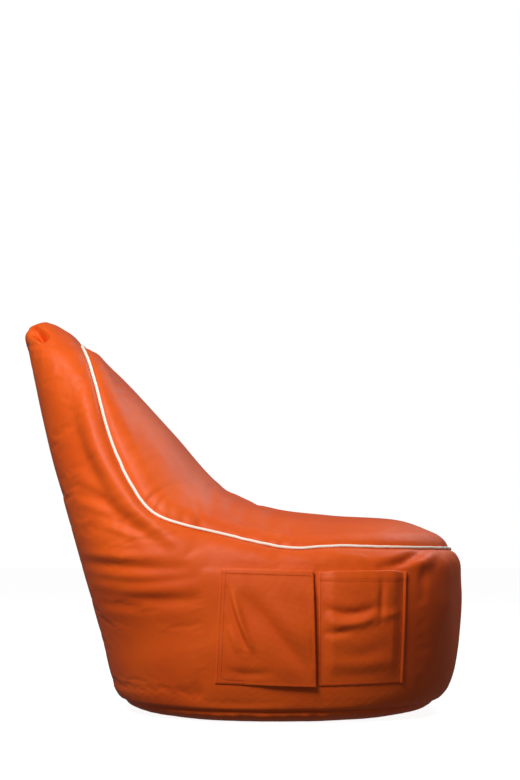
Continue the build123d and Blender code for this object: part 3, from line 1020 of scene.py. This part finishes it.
def cloth_look(name, main, deep, pitch, rough=(0.42, 0.56), weave=0.3, wear=0.35, **sockets):
    """Woven, coated cloth: colour drift, worn ridges, painted shade in hollows, weave and slight rippling.
    """
    look, main, deep = Look(name, **sockets), linear(*main), linear(*deep)
    drift = look.ranged(look.noise(5.0, 5.0, 0.6), 0.35, 0.65, 0.0, 1.0)
    colour = look.mix(drift, main, deep)
    worn = look.ranged(look.edges(), 0.5, 0.6, 0.0, wear)
    colour = look.mix(worn, colour, scaled(main, 1.12, 0.012))
    # painted shade: the cloth is made darker in its hollows and creases
    hollow = look.ranged(look.edges(), 0.49, 0.4, 0.0, 0.5)
    colour = look.mix(hollow, colour, scaled(deep, 0.55))
    fleck = look.ranged(look.noise(900.0, 1.0), 0.3, 0.7, 0.0, 0.1)
    colour = look.mix(fleck, colour, scaled(deep, 0.6))
    look.colour(colour)
    look.rough(look.ranged(look.noise(9.0, 6.0, 0.65), 0.3, 0.7, *rough))
    look.bumps((look.noise(26.0, 4.0, 0.5), 0.22, 0.0022), (look.noise(150.0, 2.0, 0.5), 0.1, 0.0005),
               (look.weave(pitch), weave, 0.00025))
    return look.material


cover_look = cloth_look(
    "orange_coated_cloth", (230, 92, 17), (219, 80, 13), 0.0009, rough=(0.46, 0.6), Specular_IOR_Level=0.28)
piping_look = cloth_look(
    "cream_piping_cloth", (255, 246, 232), (250, 236, 216), 0.0007, rough=(0.55, 0.7), weave=0.45,
    wear=0.2, Sheen_Weight=0.15, Specular_IOR_Level=0.35)
# painted shadow: the dark orange of the tube beside the piping stands for its shadow line
shadow_look = cloth_look(
    "orange_painted_shadow", (120, 40, 12), (96, 30, 8), 0.0008, Specular_IOR_Level=0.3)
thread_look = cloth_look(
    "orange_thread", (196, 66, 20), (178, 56, 15), 0.0004, rough=(0.5, 0.65), weave=0.5,
    Specular_IOR_Level=0.4)
tape_look = cloth_look(
    "zip_tape_orange", (214, 84, 26), (198, 74, 20), 0.0006, rough=(0.6, 0.75), weave=0.6,
    Specular_IOR_Level=0.3)
liner_look = cloth_look(
    "white_nonwoven", (232, 230, 224), (220, 217, 210), 0.0024, rough=(0.7, 0.85), weave=0.35,
    Specular_IOR_Level=0.25)
white_tape_look = cloth_look(
    "zip_tape_white", (236, 235, 230), (224, 222, 216), 0.0006, rough=(0.6, 0.75), weave=0.6,
    Specular_IOR_Level=0.3)


def coil_look(name, main, deep):
    """Nylon wire, with painted shade: darker between its turns, paler where it stands proud."""
    look = Look(name, Specular_IOR_Level=0.5)
    # painted shade between the turns, from how far each point stands proud
    proud = look.ranged(look.edges(), 0.45, 0.6, 0.0, 1.0)
    look.colour(look.mix(proud, linear(*deep), linear(*main)))
    look.rough(look.ranged(look.noise(300.0), 0.3, 0.7, 0.32, 0.48))
    look.bumps((look.noise(900.0), 0.2, 0.0001),)
    return look.material


def metal_look(name, main, dark):
    """Plated metal, bright where it is handled, with grime."""
    look, main, dark = Look(name, Metallic=1.0), linear(*main), linear(*dark)
    worn = look.ranged(look.edges(), 0.5, 0.62, 0.0, 1.0)
    colour = look.mix(worn, main, scaled(main, 1.25))
    grime = look.ranged(look.noise(180.0, 5.0, 0.6), 0.45, 0.75, 0.0, 0.6)
    look.colour(look.mix(grime, colour, dark))
    look.rough(look.ranged(look.noise(420.0, 4.0), 0.3, 0.7, 0.26, 0.44))
    look.bumps((look.noise(700.0, 3.0), 0.12, 0.0002),)
    return look.material


def bead_look(name):
    """Round beads, packed together, with painted shade in the gaps between them."""
    look = Look(name, Specular_IOR_Level=0.3, Subsurface_Weight=0.15)
    cells = look.cells(230.0)
    # painted shade: darker towards the edge of each bead cell, in the gaps between beads
    shade = look.ranged(cells, 0.15, 0.7, 0.0, 1.0)
    look.colour(look.mix(shade, linear(246, 246, 244), linear(196, 196, 194)))
    look.rough(look.ranged(look.noise(90.0), 0.3, 0.7, 0.6, 0.8))
    look.bumps((look.math("SUBTRACT", 1.0, cells), 1.0, 0.003), (look.noise(1500.0), 0.2, 0.0002))
    return look.material


orange_coil_look = coil_look("zip_coil_orange", (226, 96, 38), (176, 62, 20))
white_coil_look = coil_look("zip_coil_white", (238, 238, 234), (180, 180, 176))
steel_look = metal_look("zip_metal", (176, 176, 178), (104, 102, 100))


def wear(piece, look):
    if piece.material_slots:
        for slot in piece.material_slots:
            slot.material = look
    else:
        piece.data.materials.append(look)


for piece in panels + pocket_skin:
    wear(piece, cover_look)
wear(piping, piping_look)
wear(shade, shadow_look)
wear(pocket_thread, thread_look)
wear(zip_thread, thread_look)
wear(beads, bead_look("polystyrene_beads"))
for piece in liner:
    wear(piece, liner_look)
for name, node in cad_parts.items():
    if "slider" in name or "stop" in name:
        wear(node, steel_look)
for name, piece in zip_pieces.items():
    if "tape" in name:
        wear(piece, white_tape_look if name.startswith("liner") else tape_look)
    else:
        wear(piece, white_coil_look if name.startswith("liner") else orange_coil_look)

# ---- Floor, light and camera ----
scene = bpy.context.scene
scene.view_settings.view_transform = "Standard"
FLOOR = 9.0
floor = new_piece("floor", [(-FLOOR, -FLOOR, 0), (FLOOR, -FLOOR, 0), (FLOOR, FLOOR, 0), (-FLOOR, FLOOR, 0)],
                  [(0, 1, 2, 3)], smooth=False)
floor_look = Look("pale_floor", Specular_IOR_Level=0.2)
floor_look.colour(floor_look.mix(floor_look.noise(2.0), linear(150, 150, 150), linear(146, 146, 146)))
floor_look.rough(floor_look.ranged(floor_look.noise(6.0), 0.3, 0.7, 0.55, 0.65))
floor_look.shader.inputs["Emission Color"].default_value = (1, 1, 1, 1)
floor_look.shader.inputs["Emission Strength"].default_value = 0.93
wear(floor, floor_look.material)
floor.visible_diffuse = floor.visible_glossy = False

world = bpy.data.worlds.new("studio")
scene.world = world
world.use_nodes = True
WORLD_LIGHT, WORLD_SHOWN = 0.12, 1.0
backdrop = world.node_tree.nodes["Background"]
backdrop.inputs["Color"].default_value = (1, 1, 1, 1)
seen = world.node_tree.nodes.new("ShaderNodeLightPath").outputs["Is Camera Ray"]
strength = world.node_tree.nodes.new("ShaderNodeMapRange")
world.node_tree.links.new(seen, strength.inputs["Value"])
strength.inputs["To Min"].default_value, strength.inputs["To Max"].default_value = WORLD_LIGHT, WORLD_SHOWN
world.node_tree.links.new(strength.outputs["Result"], backdrop.inputs["Strength"])


def area_light(name, place, target, size, power, colour=(1, 1, 1)):
    light = bpy.data.lights.new(name, "AREA")
    light.size, light.energy, light.color = size, power, colour
    lamp = bpy.data.objects.new(name, light)
    lamp.location = place
    lamp.rotation_euler = (Vector(target) - Vector(place)).to_track_quat("-Z", "Y").to_euler()
    scene.collection.objects.link(lamp)


area_light("key", (-2.2, 1.0, 2.3), (0, 0.15, 0.45), 1.1, 90)
area_light("sheen", (1.45, -1.6, 2.4), (0, 0.25, 0.5), 1.2, 30)

TARGET, DISTANCE, ELEVATION = Vector((0, 0, 0.42)), 4.07, 0.0
camera = bpy.data.objects.new("camera", bpy.data.cameras.new("camera"))
scene.collection.objects.link(camera)
look_along = Vector((math.cos(ELEVATION), 0, -math.sin(ELEVATION)))
camera.location = TARGET - look_along * DISTANCE
camera.rotation_euler = look_along.to_track_quat("-Z", "Y").to_euler()
camera.data.lens = 90.1
camera.data.sensor_width = 36
camera.data.shift_x, camera.data.shift_y = 16.5 / 780, 115 / 780
scene.camera = camera
